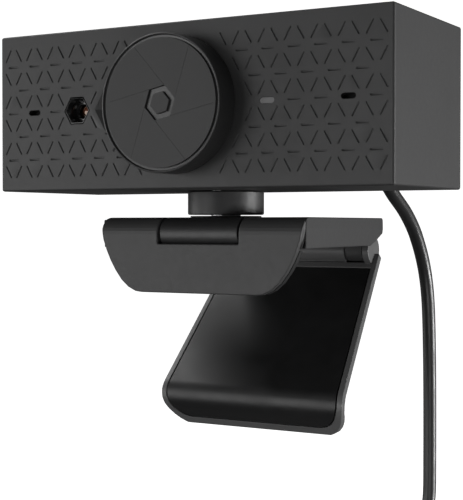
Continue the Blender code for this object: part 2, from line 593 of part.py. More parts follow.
leg_front = leg_path(0.0)
leg_back = leg_path(LEG_T)
leg = outline("leg_plate", leg_front + leg_back[::-1], "X", -30, 30, (DARK, 0.5), leg_axis)
corner = arc(17.6, -49.6, 7.0, 0, -90, 8)
leg_edge = ([(leg_half(-10), -10), (leg_half(-44), -44), (24.7, -48.6)]
            + [(17.6 + 7.05 * math.cos(math.radians(a)), -49.4 + 8.2 * math.sin(math.radians(a)))
               for a in (-8, -20, -32, -44, -56, -68, -80)] + [(17.0, -57.6), (15.0, -60)])
boolean(leg, outline("trim_leg", leg_edge + [(-x, z) for x, z in reversed(leg_edge)], "Y", 10, 80,
                     cutter=True), "INTERSECT")
RIM = 1.3


def pad_half(z):
    return leg_half(z) - RIM


pocket_a = leg_path(-1.0, start=4.6)
pocket_b = leg_path(LEG_PAD_T + GAP, start=4.6)
pocket = outline("cut_pad_pocket", pocket_a + pocket_b[::-1], "X", -30, 30, cutter=True)
pad_edge = ([(pad_half(-14), -14), (pad_half(-44), -44), (23.3, -48.4)]
            + [(17.6 + 5.7 * math.cos(math.radians(a)), -49.2 + 6.3 * math.sin(math.radians(a)))
               for a in (-8, -24, -40, -56, -72, -90)])
pocket_trim = outline("trim_pad_pocket", pad_edge + [(-x, z) for x, z in reversed(pad_edge)], "Y",
                      10, 80, cutter=True)
boolean(pocket, pocket_trim, "INTERSECT")
boolean(leg, pocket)
bm = bmesh.new()
rod_into(bm, "X", (0, HINGE_Y, HINGE_Z), BARREL_R, 26.6, at(0, 0, 0), 28)
for s in (-1, 1):
    rod_into(bm, "X", (s * 19.4, HINGE_Y, HINGE_Z), EAR_R, 1.7, at(0, 0, 0), 28)
barrels = make("add_leg_barrels", bm, at(0, 0, 0), cutter=True)
bm = bmesh.new()
for s in (-1, 1):
    rod_into(bm, "X", (s * 15.9, HINGE_Y, HINGE_Z), BARREL_R + 0.3, 5.2, at(0, 0, 0), 28)
boolean(leg, make("cut_lug_room", bm, at(0, 0, 0), cutter=True))
boolean(leg, barrels, "UNION")
boolean(leg, rod("cut_leg_bore", "X", (0, HINGE_Y, HINGE_Z), PIN_BORE, 39.2, cutter=True, seg=16))

pad_front = leg_path(0.0, start=4.9)
pad_back = leg_path(LEG_PAD_T, start=4.9)
leg_pad = outline("leg_pad", pad_front + pad_back[::-1], "X", -30, 30, (RUBBER, 0.4), leg_axis)
inset = 0.3
pad_in = ([(pad_half(-14) - inset, -14), (pad_half(-44) - inset, -44), (23.0, -48.4)]
          + [(17.6 + 5.4 * math.cos(math.radians(a)), -49.2 + 6.0 * math.sin(math.radians(a)))
             for a in (-8, -24, -40, -56, -72, -90)])
boolean(leg_pad, outline("trim_leg_pad", pad_in + [(-x, z) for x, z in reversed(pad_in)], "Y", 10,
                         80, cutter=True), "INTERSECT")

# ------------------------------------------------------------------ cable
relief = rod("cable_gland", "Y", (CABLE_X, 41.9, CABLE_Z), 2.6, 7.4, (RUBBER, 0.6), swivel_axis,
             seg=24, r2=2.0)
boolean(relief, rod("add_gland_flange", "Y", (CABLE_X, 35.8, CABLE_Z), 3.8, 1.6, cutter=True,
                    seg=24), "UNION")
boolean(relief, rod("add_gland_neck", "Y", (CABLE_X, 37.4, CABLE_Z), 2.55, 3.0, cutter=True,
                    seg=24), "UNION")
inner_route = smooth_route([(CABLE_X, 34.7, CABLE_Z), (CABLE_X, 30.0, 6.4), (28.5, 25.0, 10.0),
                            (32.0, 20.5, 14.0), (32.5, 17.9, 15.0)], 3.0)
tube("inner_lead", inner_route, 2.6, (RUBBER, 0.6), swivel_axis)

LEAD_Y = 82.8                  # the cable hangs straight down here
ROUTE = [(CABLE_X, 46.3, CABLE_Z - 0.1), (CABLE_X, 49.4, 4.6), (CABLE_X, 53.2, 2.2),
         (CABLE_X, 57.4, -0.5), (CABLE_X, 61.0, -2.4), (CABLE_X, 64.3, -4.2),
         (CABLE_X, 68.0, -6.7), (CABLE_X, 71.1, -9.3), (CABLE_X, 73.6, -11.9),
         (CABLE_X, 75.8, -14.6), (CABLE_X, 78.9, -19.9), (CABLE_X, 81.0, -26.4),
         (CABLE_X, 82.0, -35.7), (CABLE_X, 82.6, -49.0), (CABLE_X, LEAD_Y, -64.0),
         (CABLE_X, LEAD_Y, -74.0), (CABLE_X, LEAD_Y - 0.1, -80.0)]
ROUTE += [(CABLE_X, LEAD_Y - 0.5, -84.5), (CABLE_X, LEAD_Y - 1.4, -87.0), (CABLE_X, LEAD_Y - 2.4, -88.8),
          (CABLE_X, LEAD_Y - 3.4, -90.2)]
cable_points = smooth_route(ROUTE, 4.2)
tube("usb_cable", cable_points, CABLE_D, (RUBBER, 0.5), swivel_axis)

# the tied coil as a turned ring about X, one solid of its outer shape
profile = []
for cx, cr, a0 in ((COIL_HALF - 2, COIL_OUT - 2, 0), (-COIL_HALF + 2, COIL_OUT - 2, 90),
                   (-COIL_HALF + 2, COIL_IN + 2, 180), (COIL_HALF - 2, COIL_IN + 2, 270)):
    for k in range(3):
        a = math.radians(a0 + 45 * k)
        profile.append((cx + 2 * math.cos(a), cr + 2 * math.sin(a)))
me = bpy.data.meshes.new("cable_coil")
bm = bmesh.new()
ringv = [bm.verts.new((x * MM, 0, r * MM)) for x, r in profile]
for a, b in zip(ringv, ringv[1:] + ringv[:1]):
    bm.edges.new((a, b))
bm.to_mesh(me)
bm.free()
coil = bpy.data.objects.new("cable_coil", me)
coil.location = at(*COIL)
parts.objects.link(coil)
turned = coil.modifiers.new("turned", "SCREW")
turned.axis = "X"
turned.angle = math.tau
turned.steps = 30
turned.render_steps = 30
turned.use_merge_vertices = True
turned.merge_threshold = 0.00001
turned.use_normal_calculate = True
me.materials.append(material("cable_coil", RUBBER, 0.5))
finish_object(coil, swivel_axis)

TIE_A = math.radians(-40)
mid_r = (COIL_IN + COIL_OUT) / 2
thick = (COIL_OUT - COIL_IN) / 2
tie_mid = Vector((COIL[0], COIL[1] + mid_r * math.cos(TIE_A), COIL[2] + mid_r * math.sin(TIE_A)))
bm = bmesh.new()
bmesh.ops.create_cube(bm, size=1.0)
bmesh.ops.scale(bm, vec=Vector((2 * COIL_HALF + 3.0, 7.0, 2 * thick + 3.8)) * MM, verts=bm.verts)
spin = Matrix.Rotation(TIE_A - math.pi / 2, 4, "X")
bmesh.ops.transform(bm, matrix=spin, verts=bm.verts)
tie = make("cable_tie", bm, at(*tie_mid), (RUBBER, 0.7), swivel_axis)
bm = bmesh.new()
bmesh.ops.create_cube(bm, size=1.0)
bmesh.ops.scale(bm, vec=Vector((2 * COIL_HALF + 0.8, 12.0, 2 * thick + 2.0)) * MM, verts=bm.verts)
bmesh.ops.transform(bm, matrix=spin, verts=bm.verts)
boolean(tie, make("cut_tie", bm, at(*tie_mid), cutter=True))

# the plug hangs from the end of the coil's last turn
TAIL_Y = COIL[1] - COIL_OUT - CABLE_D / 2 - 0.9
tail_route = [(CABLE_X, TAIL_Y, COIL[2] + 2.0), (CABLE_X, TAIL_Y, COIL[2] - 4.0),
              (CABLE_X, TAIL_Y, COIL[2] - 9.0), (CABLE_X, TAIL_Y, COIL[2] - 13.7)]
tube("plug_lead", smooth_route(tail_route, 4.0), CABLE_D, (RUBBER, 0.5), swivel_axis)
grip_top = COIL[2] - 14.0
grip = box("plug_grip", (CABLE_X - 7.9, TAIL_Y - 4.0, grip_top - 33.0),
           (CABLE_X + 7.9, TAIL_Y + 4.0, grip_top - 8.0), (RUBBER, 0.5), swivel_axis, bevel=1.4,
           segments=3)
boolean(grip, rod("add_plug_relief", "Z", (CABLE_X, TAIL_Y, grip_top - 4.4), 3.3, 8.8, cutter=True,
                  seg=24, r2=2.2), "UNION")
usb = box("plug_shell", (CABLE_X - 6.0, TAIL_Y - 2.25, grip_top - 45.6),
          (CABLE_X + 6.0, TAIL_Y + 2.25, grip_top - 33.3), (STEEL, 0.25, 1.0), swivel_axis,
          bevel=0.3, segments=1)
boolean(usb, box("cut_plug_mouth", (CABLE_X - 5.6, TAIL_Y - 1.85, grip_top - 50),
                 (CABLE_X + 5.6, TAIL_Y + 1.85, grip_top - 34.0), cutter=True))
box("plug_tongue", (CABLE_X - 5.2, TAIL_Y - 1.5, grip_top - 44.8),
    (CABLE_X + 5.2, TAIL_Y + 0.2, grip_top - 34.4), ((0.9, 0.9, 0.9), 0.5), swivel_axis)
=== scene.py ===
"""Looks of the bar webcam on its folding monitor clip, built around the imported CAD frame.

Lengths named in mm are measured from the camera head's lower front edge and turned into the
row frame's metres by at(): X along the bar, Y from the front panel to the back, Z up.
"""
import math

import bmesh
import bpy
from mathutils import Matrix, Vector


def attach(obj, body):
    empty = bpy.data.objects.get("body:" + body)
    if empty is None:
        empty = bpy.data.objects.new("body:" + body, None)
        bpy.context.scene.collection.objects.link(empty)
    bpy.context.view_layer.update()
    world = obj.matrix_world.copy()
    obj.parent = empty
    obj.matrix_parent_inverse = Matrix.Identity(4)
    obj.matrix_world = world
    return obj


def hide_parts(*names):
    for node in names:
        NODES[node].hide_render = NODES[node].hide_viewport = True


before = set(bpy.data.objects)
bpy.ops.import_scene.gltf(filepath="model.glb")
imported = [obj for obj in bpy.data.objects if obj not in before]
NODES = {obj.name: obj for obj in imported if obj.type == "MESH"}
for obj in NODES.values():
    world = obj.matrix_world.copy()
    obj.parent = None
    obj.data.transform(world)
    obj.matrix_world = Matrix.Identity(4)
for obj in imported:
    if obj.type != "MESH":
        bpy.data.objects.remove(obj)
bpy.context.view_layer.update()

MM = 0.001
SEAT = (0.0, 22.0, -13.4)
MID_Z = 18.2


def at(x, y, z):
    return Vector(((x - SEAT[0]) * MM, (y - SEAT[1]) * MM, (z - SEAT[2]) * MM))


# ============================================================ camera
cam_data = bpy.data.cameras.new("camera")
cam_data.lens = 90.58
cam_data.sensor_width = 36.0
cam_data.clip_start = 0.01
cam_data.clip_end = 50.0
cam = bpy.data.objects.new("camera", cam_data)
bpy.context.scene.collection.objects.link(cam)
cam.location = (0.145951, -0.253904, 0.005770)
cam.rotation_euler = (math.radians(90 - 1.188), 0.0, math.radians(29.852))
bpy.context.scene.camera = cam
bpy.context.scene.view_settings.view_transform = "Standard"


# ============================================================ mesh helpers
def new_object(name, me, body, *nodes, slot=None, mat=None, angle=None):
    o = bpy.data.objects.new(name, me)
    bpy.context.scene.collection.objects.link(o)
    if mat is not None:
        me.materials.clear()
        me.materials.append(mat)
    if angle is not None:
        o.data = me = even_normals(me, angle)
        me.name = name
    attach(o, body)
    if nodes:
        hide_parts(*nodes)
    return o


def from_bm(name, bm, body, *nodes, slot=None, mat=None, angle=35, recalc=True):
    if recalc:
        bmesh.ops.recalc_face_normals(bm, faces=bm.faces)
    me = bpy.data.meshes.new(name)
    bm.to_mesh(me)
    bm.free()
    return new_object(name, me, body, *nodes, slot=slot, mat=mat, angle=angle)


def node_bm(node, limit=0.6):
    """A welded copy of a CAD node's mesh, its flat faces merged."""
    bm = bmesh.new()
    bm.from_mesh(NODES[node].data)
    bmesh.ops.remove_doubles(bm, verts=bm.verts, dist=2e-6)
    if limit:
        bmesh.ops.dissolve_limit(bm, angle_limit=math.radians(limit), verts=bm.verts, edges=bm.edges)
    return bm


def mesh_of(bm, name="tmp"):
    me = bpy.data.meshes.new(name)
    bm.to_mesh(me)
    bm.free()
    return me


def applied(me, *mods):
    """The mesh with these modifiers applied; each is (type, {property: value})."""
    tmp = bpy.data.objects.new("tmp", me)
    bpy.context.scene.collection.objects.link(tmp)
    for kind, props in mods:
        m = tmp.modifiers.new(kind.lower(), kind)
        for k, v in props.items():
            setattr(m, k, v)
    bpy.context.view_layer.update()
    out = bpy.data.meshes.new_from_object(tmp.evaluated_get(bpy.context.evaluated_depsgraph_get()))
    bpy.data.objects.remove(tmp, do_unlink=True)
    return out


def even_normals(me, angle):
    """Smooth shading whose large flat faces stay flat up to their rounded edges."""
    me.shade_smooth()
    me.set_sharp_from_angle(angle=math.radians(angle))
    return applied(me, ("WEIGHTED_NORMAL", {"keep_sharp": True, "weight": 100, "mode": "FACE_AREA"}))


def cutter(me):
    o = bpy.data.objects.new("cutter", me)
    bpy.context.scene.collection.objects.link(o)
    o.hide_render = True
    return o


def cut(me, cutting, operation="DIFFERENCE"):
    c = cutter(cutting)
    out = applied(me, ("BOOLEAN", {"operation": operation, "solver": "EXACT", "object": c}))
    bpy.data.objects.remove(c, do_unlink=True)
    return out


def bevelled(me, width, segments=3, angle=40, clamp=False):
    return applied(me, ("BEVEL", {"width": width * MM, "segments": segments, "limit_method": "ANGLE",
                                  "angle_limit": math.radians(angle), "use_clamp_overlap": clamp,
                                  "miter_outer": "MITER_ARC"}))


def loft(bm, rings, close_start=True, close_end=True):
    """Joins rings of equally many points by quads, each ring a list of Vectors."""
    made = [[bm.verts.new(p) for p in r] for r in rings]
    n = len(made[0])
    for a, b in zip(made, made[1:]):
        for i in range(n):
            bm.faces.new((a[i], a[(i + 1) % n], b[(i + 1) % n], b[i]))
    if close_start:
        bm.faces.new(made[0][::-1])
    if close_end:
        bm.faces.new(made[-1])
    return made


def lathe(bm, profile, centre, axis="Y", seg=96):
    """Turns (radius, height) pairs about an axis through centre (mm); radius 0 closes at a point."""
    rings = []
    for r, h in profile:
        if r <= 1e-6:
            c = list(centre)
            c["XYZ".index(axis)] += h
            rings.append([bm.verts.new(at(*c))])
            continue
        ring = []
        for k in range(seg):
            a = math.tau * k / seg
            u, v = r * math.cos(a), r * math.sin(a)
            c = list(centre)
            if axis == "Y":
                c[0] += u
                c[2] += v
                c[1] += h
            elif axis == "Z":
                c[0] += u
                c[1] += v
                c[2] += h
            else:
                c[1] += u
                c[2] += v
                c[0] += h
            ring.append(bm.verts.new(at(*c)))
        rings.append(ring)
    pairs = list(zip(rings, rings[1:]))
    for a, b in pairs:
        if len(a) == 1 and len(b) == 1:
            continue
        for i in range(seg):
            j = (i + 1) % seg
            if len(a) == 1:
                bm.faces.new((a[0], b[j], b[i]))
            elif len(b) == 1:
                bm.faces.new((a[i], a[j], b[0]))
            else:
                bm.faces.new((a[i], a[j], b[j], b[i]))
    return rings


def lathe_closed(bm, profile, centre, axis="Y", seg=96):
    """As lathe(), for a profile that is a closed loop clear of the axis."""
    return lathe(bm, profile + profile[:1], centre, axis, seg)


def prism(bm, pts, y0, y1):
    """An outline of (x, z) points in mm as a solid between two depths."""
    lo = [bm.verts.new(at(x, y0, z)) for x, z in pts]
    hi = [bm.verts.new(at(x, y1, z)) for x, z in pts]
    n = len(pts)
    bm.faces.new(lo)
    bm.faces.new(hi[::-1])
    for i in range(n):
        bm.faces.new((lo[i], hi[i], hi[(i + 1) % n], lo[(i + 1) % n]))


def slot_outline(cx, cz, length, width, angle=0.0, steps=5):
    """A stadium's outline turned by angle (radians) in the XZ plane."""
    r, half = width / 2, length / 2 - width / 2
    pts = []
    for side, start in ((1, -90), (-1, 90)):
        for k in range(steps + 1):
            a = math.radians(start + 180 * k / steps)
            pts.append((side * half + r * math.cos(a), r * math.sin(a)))
    c, s = math.cos(angle), math.sin(angle)
    return [(cx + x * c - z * s, cz + x * s + z * c) for x, z in pts]


def box_bm(bm, lo, hi):
    a, b = at(*lo), at(*hi)
    got = bmesh.ops.create_cube(bm, size=1.0)["verts"]
    bmesh.ops.scale(bm, vec=b - a, verts=got)
    bmesh.ops.translate(bm, vec=(a + b) / 2, verts=got)
    return got


def smooth_route(knots, step):
    ext = [[2 * a - b for a, b in zip(knots[0], knots[1])], *knots,
           [2 * a - b for a, b in zip(knots[-1], knots[-2])]]
    fine = []
    for i in range(1, len(ext) - 2):
        p0, p1, p2, p3 = (Vector(ext[i + k]) for k in (-1, 0, 1, 2))
        for k in range(24):
            t = k / 24
            fine.append(0.5 * ((2 * p1) + (p2 - p0) * t + (2 * p0 - 5 * p1 + 4 * p2 - p3) * t * t
                               + (3 * p1 - p0 - 3 * p2 + p3) * t ** 3))
    fine.append(Vector(knots[-1]))
    total = sum((b - a).length for a, b in zip(fine, fine[1:]))
    count = max(3, round(total / step))
    out, run, k = [fine[0]], 0.0, 1
    for a, b in zip(fine, fine[1:]):
        seg = (b - a).length
        while k < count and run + seg >= total * k / count:
            out.append(a.lerp(b, (total * k / count - run) / seg))
            k += 1
        run += seg
    out.append(fine[-1])
    return out


# ============================================================ materials
class Mat:
    """A Principled material with helpers for its node tree."""

    def __init__(self, name):
        self.m = bpy.data.materials.new(name)
        self.m.use_nodes = True
        self.t = self.m.node_tree
        self.p = self.t.nodes["Principled BSDF"]
        self.coord = self.t.nodes.new("ShaderNodeTexCoord").outputs["Object"]

    def set(self, **values):
        for k, v in values.items():
            self.p.inputs[k.replace("_", " ")].default_value = v
        return self

    def link(self, a, b):
        self.t.links.new(a, b)

    def noise(self, size_mm, detail=3.0, rough=0.55, stretch=None, distortion=0.0):
        vec = self.coord
        if stretch:
            mp = self.t.nodes.new("ShaderNodeMapping")
            mp.inputs["Scale"].default_value = stretch
            self.link(vec, mp.inputs["Vector"])
            vec = mp.outputs["Vector"]
        n = self.t.nodes.new("ShaderNodeTexNoise")
        n.inputs["Scale"].default_value = 1000.0 / size_mm
        n.inputs["Detail"].default_value = detail
        n.inputs["Roughness"].default_value = rough
        n.inputs["Distortion"].default_value = distortion
        self.link(vec, n.inputs["Vector"])
        return n.outputs["Fac"]

    def voronoi(self, size_mm, feature="F1"):
        n = self.t.nodes.new("ShaderNodeTexVoronoi")
        n.feature = feature
        n.inputs["Scale"].default_value = 1000.0 / size_mm
        self.link(self.coord, n.inputs["Vector"])
        return n.outputs["Distance"]

    def ramp(self, fac, *stops):
        r = self.t.nodes.new("ShaderNodeValToRGB")
        e = r.color_ramp.elements
        while len(e) < len(stops):
            e.new(0.5)
        for el, (pos, col) in zip(e, stops):
            el.position = pos
            el.color = (*col, 1.0) if len(col) == 3 else col
        self.link(fac, r.inputs["Fac"])
        return r.outputs["Color"]

    def remap(self, value, a, b, lo=0.25, hi=0.75):
        m = self.t.nodes.new("ShaderNodeMapRange")
        m.inputs["From Min"].default_value = lo
        m.inputs["From Max"].default_value = hi
        m.inputs["To Min"].default_value = a
        m.inputs["To Max"].default_value = b
        self.link(value, m.inputs["Value"])
        return m.outputs["Result"]

    def math(self, op, a, b):
        m = self.t.nodes.new("ShaderNodeMath")
        m.operation = op
        for i, v in enumerate((a, b)):
            if isinstance(v, (int, float)):
                m.inputs[i].default_value = v
            else:
                self.link(v, m.inputs[i])
        return m.outputs[0]

    def bump(self, *layers):
        """Layers are (height output, strength, distance in mm), each on top of the last."""
        last = None
        for height, strength, dist in layers:
            b = self.t.nodes.new("ShaderNodeBump")
            b.inputs["Strength"].default_value = strength
            b.inputs["Distance"].default_value = dist * MM
            self.link(height, b.inputs["Height"])
            if last is not None:
                self.link(last, b.inputs["Normal"])
            last = b.outputs["Normal"]
        self.link(last, self.p.inputs["Normal"])
        return self


def shades(c, k):
    return tuple(x * k for x in c)


def moulded(name, colour, rough, grain=0.16, depth=0.010, spread=0.07, specular=0.5, coat=0.0):
    """Spark-eroded moulded plastic: a fine grain, faint mottling and slow changes of gloss."""
    m = Mat(name)
    fine = m.noise(grain, 2.0, 0.6)
    slow = m.noise(9.0, 3.0, 0.5)
    mid = m.noise(0.9, 3.0, 0.6)
    both = m.math("ADD", m.math("MULTIPLY", slow, 0.6), m.math("MULTIPLY", mid, 0.4))
    col = m.ramp(both, (0.32, shades(colour, 1 - spread)), (0.5, colour), (0.68, shades(colour, 1 + spread)))
    m.link(col, m.p.inputs["Base Color"])
    m.link(m.remap(mid, rough - 0.04, rough + 0.05), m.p.inputs["Roughness"])
    m.bump((fine, 0.55, depth), (m.noise(2.4, 2.0), 0.15, depth))
    m.set(Specular_IOR_Level=specular)
    if coat:
        m.set(Coat_Weight=coat, Coat_Roughness=0.25)
    return m.m


def rubber(name, colour, rough, dust=0.10, grain=0.22, depth=0.012, specular=0.4, sheen=0.0):
    """Elastomer with a soft bloom and a very fine tooth."""
    m = Mat(name)
    bloom = m.noise(5.0, 4.0, 0.6)
    speck = m.noise(0.35, 2.0, 0.5)
    both = m.math("ADD", m.math("MULTIPLY", bloom, 0.7), m.math("MULTIPLY", speck, 0.3))
    col = m.ramp(both, (0.35, colour), (0.6, shades(colour, 1 + dust)), (0.75, shades(colour, 1 + 2 * dust)))
    m.link(col, m.p.inputs["Base Color"])
    m.link(m.remap(bloom, rough - 0.05, rough + 0.06), m.p.inputs["Roughness"])
    m.bump((m.noise(grain, 2.0, 0.6), 0.5, depth))
    m.set(Specular_IOR_Level=specular)
    if sheen:
        m.set(Sheen_Weight=sheen, Sheen_Roughness=0.5)
    return m.m


def steel(name, colour=(0.56, 0.56, 0.57), rough=0.3, brush=(1, 1, 12), dark=0.85):
    m = Mat(name)
    lines = m.noise(0.5, 4.0, 0.7, stretch=brush)
    tint = m.noise(3.0, 2.0)
    m.link(m.ramp(tint, (0.3, shades(colour, dark)), (0.7, colour)), m.p.inputs["Base Color"])
    m.link(m.remap(lines, rough - 0.08, rough + 0.12), m.p.inputs["Roughness"])
    m.bump((lines, 0.25, 0.006))
    m.set(Metallic=1.0)
    return m.m


def glassy(name, colour, glint, radius, centre_x):
    """Coated lens glass: dark, with a painted warm glint gathered toward the middle."""
    m = Mat(name)
    mp = m.t.nodes.new("ShaderNodeMapping")
    c = at(centre_x, 0, MID_Z)
    mp.vector_type = "TEXTURE"
    mp.inputs["Location"].default_value = (c.x + 0.0005, c.y, c.z + 0.0002)
    mp.inputs["Scale"].default_value = (radius * MM, 1.0, radius * MM)
    m.link(m.coord, mp.inputs["Vector"])
    g = m.t.nodes.new("ShaderNodeTexGradient")
    g.gradient_type = "SPHERICAL"
    sep = m.t.nodes.new("ShaderNodeSeparateXYZ")
    m.link(mp.outputs["Vector"], sep.inputs["Vector"])
    comb = m.t.nodes.new("ShaderNodeCombineXYZ")
    m.link(sep.outputs["X"], comb.inputs["X"])
    m.link(sep.outputs["Z"], comb.inputs["Z"])
    m.link(comb.outputs["Vector"], g.inputs["Vector"])
    # painted glint: the lens colour toward the rim, the painted glint brightening toward the middle
    m.link(m.ramp(g.outputs["Fac"], (0.0, colour), (0.35, colour), (0.62, glint), (0.9, shades(glint, 1.5))),
           m.p.inputs["Base Color"])
    m.bump((m.noise(4.0, 1.0), 0.02, 0.01))
    m.link(m.remap(m.noise(2.0), 0.05, 0.09), m.p.inputs["Roughness"])
    m.set(Specular_IOR_Level=0.7, Coat_Weight=1.0, Coat_Roughness=0.03, Coat_Tint=(1.0, 0.72, 0.5, 1.0))
    return m.m


def solder_mask(name):
    m = Mat(name)
    copper = m.voronoi(1.7, "DISTANCE_TO_EDGE")
    weave = m.noise(0.8, 3.0)
    col = m.ramp(copper, (0.0, (0.035, 0.13, 0.06)), (0.09, (0.03, 0.12, 0.055)), (0.12, (0.012, 0.06, 0.028)))
    m.link(col, m.p.inputs["Base Color"])
    m.link(m.remap(weave, 0.25, 0.4), m.p.inputs["Roughness"])
    m.bump((copper, 0.2, 0.03))
    return m.m


M = {
    "shell": moulded("shell_plastic", (0.0375, 0.0375, 0.0380), 0.52, grain=0.17, depth=0.009),
    "cover": moulded("cover_plastic", (0.0385, 0.0385, 0.0390), 0.47, grain=0.17, depth=0.008),
    "pads": moulded("cover_pad_plastic", (0.0400, 0.0400, 0.0405), 0.60, grain=0.15, depth=0.012),
    "channel": moulded("cover_channel_gloss", (0.034, 0.034, 0.0345), 0.30, grain=0.30, depth=0.004),
    "clip": moulded("clip_plastic", (0.0420, 0.0420, 0.0425), 0.50, grain=0.17, depth=0.009),
    "dark": moulded("dark_plastic", (0.021, 0.021, 0.0215), 0.42, grain=0.18, depth=0.008),
    "neck": moulded("neck_plastic", (0.026, 0.026, 0.0265), 0.50, grain=0.18, depth=0.006),
    "leg": moulded("leg_plastic", (0.115, 0.115, 0.1155), 0.42, grain=0.18, depth=0.008),
    "gloss": moulded("gloss_black", (0.010, 0.010, 0.0105), 0.16, grain=0.5, depth=0.003, coat=0.4),
    "pad": rubber("pad_rubber", (0.0095, 0.0095, 0.0098), 0.42, grain=0.20, depth=0.006, specular=0.45),
    "rubber": rubber("black_rubber", (0.013, 0.013, 0.0133), 0.62),
    "jacket": rubber("cable_jacket", (0.016, 0.016, 0.0164), 0.42, grain=0.45, depth=0.010, specular=0.5),
    "tie": rubber("tie_fabric", (0.014, 0.014, 0.015), 0.85, dust=0.35, grain=0.30, depth=0.06, sheen=0.4),
    "screen": rubber("acoustic_mesh", (0.004, 0.004, 0.004), 0.8, grain=0.28, depth=0.05),
    "steel": steel("bright_steel"),
    "zinc": steel("screw_steel", (0.40, 0.40, 0.41), 0.36, brush=(1, 1, 1)),
    "shellsteel": steel("plug_nickel", (0.60, 0.60, 0.60), 0.24, brush=(12, 1, 1)),
    "gold": steel("contact_gold", (0.80, 0.58, 0.22), 0.25, brush=(1, 1, 6)),
    "lens": glassy("lens_glass", (0.010, 0.006, 0.005), (0.16, 0.055, 0.025), 2.0, -27.8),
    "lens_rear": glassy("rear_lens_glass", (0.02, 0.02, 0.03), (0.06, 0.05, 0.09), 2.0, -27.8),
    "board": solder_mask("circuit_board"),
    "chip": moulded("chip_package", (0.015, 0.015, 0.016), 0.45, grain=0.1, depth=0.006),
    "ivory": moulded("connector_ivory", (0.72, 0.69, 0.60), 0.4, spread=0.04),
    "light": moulded("light_guide", (0.118, 0.118, 0.120), 0.35, grain=0.3, depth=0.003),
    "led": moulded("led_package", (0.75, 0.74, 0.66), 0.35, spread=0.04),
    "mic": steel("microphone_can", (0.62, 0.60, 0.52), 0.3, brush=(1, 1, 1)),
    "tongue": moulded("plug_tongue_white", (0.80, 0.80, 0.79), 0.35, spread=0.03),
}

PLAIN = {
    "swivel_ring": "rubber", "swivel_post": "steel", "wave_washer": "steel", "swivel_nut": "steel",
    "tilt_pin": "steel", "hinge_pin": "steel", "lens_barrel": "dark", "lens_holder": "dark",
    "rear_lens": "lens_rear", "image_sensor": "chip", "image_processor": "chip", "cable_header": "ivory",
    "main_board": "board", "status_led": "led", "mic_gasket_left": "rubber", "mic_gasket_right": "rubber",
    "microphone_left": "mic", "microphone_right": "mic", "inner_lead": "jacket", "cover_slider": "dark", "jaw_liner": "rubber",
    "seat_pad": "rubber",
}
for i in range(1, 5):
    PLAIN[f"board_screw_{i}"] = "zinc"
for node, key in PLAIN.items():
    me = NODES[node].data
    me.materials.clear()
    me.materials.append(M[key])
    for poly in me.polygons:
        poly.material_index = 0

# ============================================================ the cable, first
CABLE_D = 3.5
CX = 26.0
COIL = (26.0, 72.8, -117.2)
R_OUT, R_IN = 23.6, 13.3
LANES = [20.6, 24.2, 27.8, 31.4]
LEAD_Y = 82.8
TAIL_Y = 72.8 - 25.4 - CABLE_D / 2 - 0.9
ROUTE = [(CX, 46.3, 5.5), (CX, 49.4, 4.6), (CX, 53.2, 2.2), (CX, 57.4, -0.5), (CX, 61.0, -2.4),
         (CX, 64.3, -4.2), (CX, 68.0, -6.7), (CX, 71.1, -9.3), (CX, 73.6, -11.9), (CX, 75.8, -14.6),
         (CX, 78.9, -19.9), (CX, 81.0, -26.4), (CX, 82.0, -35.7), (CX, 82.6, -49.0),
         (CX, LEAD_Y, -64.0), (CX, LEAD_Y, -74.0), (CX, LEAD_Y, -80.0),
         (CX - 0.3, LEAD_Y - 0.2, -84.0), (CX - 1.2, LEAD_Y - 0.9, -86.8),
         (CX - 2.6, LEAD_Y - 2.6, -89.4), (CX - 4.4, LEAD_Y - 5.6, -91.4)]
STEP = 6.0                      # degrees between the coil's points


def ease(t):
    t = max(0.0, min(1.0, t))
    return t * t * (3 - 2 * t)


def coil_points(r_in, turns):
    """Wound lane by lane: in, out, in, out, with a short step over between two lanes."""
    pts = []
    a = 112.0
    for i, x in enumerate(LANES):
        inward = i % 2 == 0
        n = round(turns * 360 / STEP)
        for k in range(n + 1):
            t = k / n
            r = R_OUT + (r_in - R_OUT) * (t if inward else 1 - t)
            pts.append((x, a, r))
            a += STEP
        a -= STEP
        if i < 3:
            m = round(60 / STEP)
            for k in range(1, m):
                pts.append((x + (LANES[i + 1] - x) * ease(k / m), a + k * STEP, r_in if inward else R_OUT))
            a += 60
    return pts, a


def tail_points(a, r_end):
    """From the last lane out over the winding and down to the plug."""
    pts = []
    stop = 180 + 360 * math.floor((a - 180) / 360 + 1)
    n = max(6, round((stop - a) / STEP))
    for k in range(1, n + 1):
        t = k / n
        ang = a + (stop - a) * t
        r = R_OUT + (r_end - R_OUT) * ease(t * 1.5)
        x = LANES[-1] + (CX - LANES[-1]) * ease((t - 0.35) / 0.65)
        pts.append((x, ang, r))
    return pts


def to_xyz(p):
    x, a, r = p
    return Vector((x, COIL[1] + r * math.cos(math.radians(a)), COIL[2] + r * math.sin(math.radians(a))))


GRIP_TOP = COIL[2] - 14.0


def whole_route(turns):
    lead = smooth_route(ROUTE, 1.6)
    wound, a = coil_points(R_IN, turns)
    tail = tail_points(a, COIL[1] - TAIL_Y)
    pts = lead + [to_xyz(p) for p in wound + tail]
    # joins lead to winding with one smooth run: light averaging near the join
    last = pts[-1]
    z = last.z
    while z - 1.6 > GRIP_TOP + 0.3:
        z -= 1.6
        pts.append(Vector((CX, TAIL_Y, z)))
    pts.append(Vector((CX, TAIL_Y, GRIP_TOP + 0.3)))
    join = len(lead)
    for _ in range(25):
        new = list(pts)
        for i in range(max(1, join - 5), join + 7):
            new[i] = (pts[i - 1] + pts[i] * 2 + pts[i + 1]) / 4
        pts = new
    for _ in range(12):
        new = list(pts)
        for i in range(20, len(pts) - 1):
            new[i] = (pts[i - 1] + pts[i] * 4 + pts[i + 1]) / 6
        pts = new
    return pts


def length_of(pts):
    return sum((b - a).length for a, b in zip(pts, pts[1:])) * MM


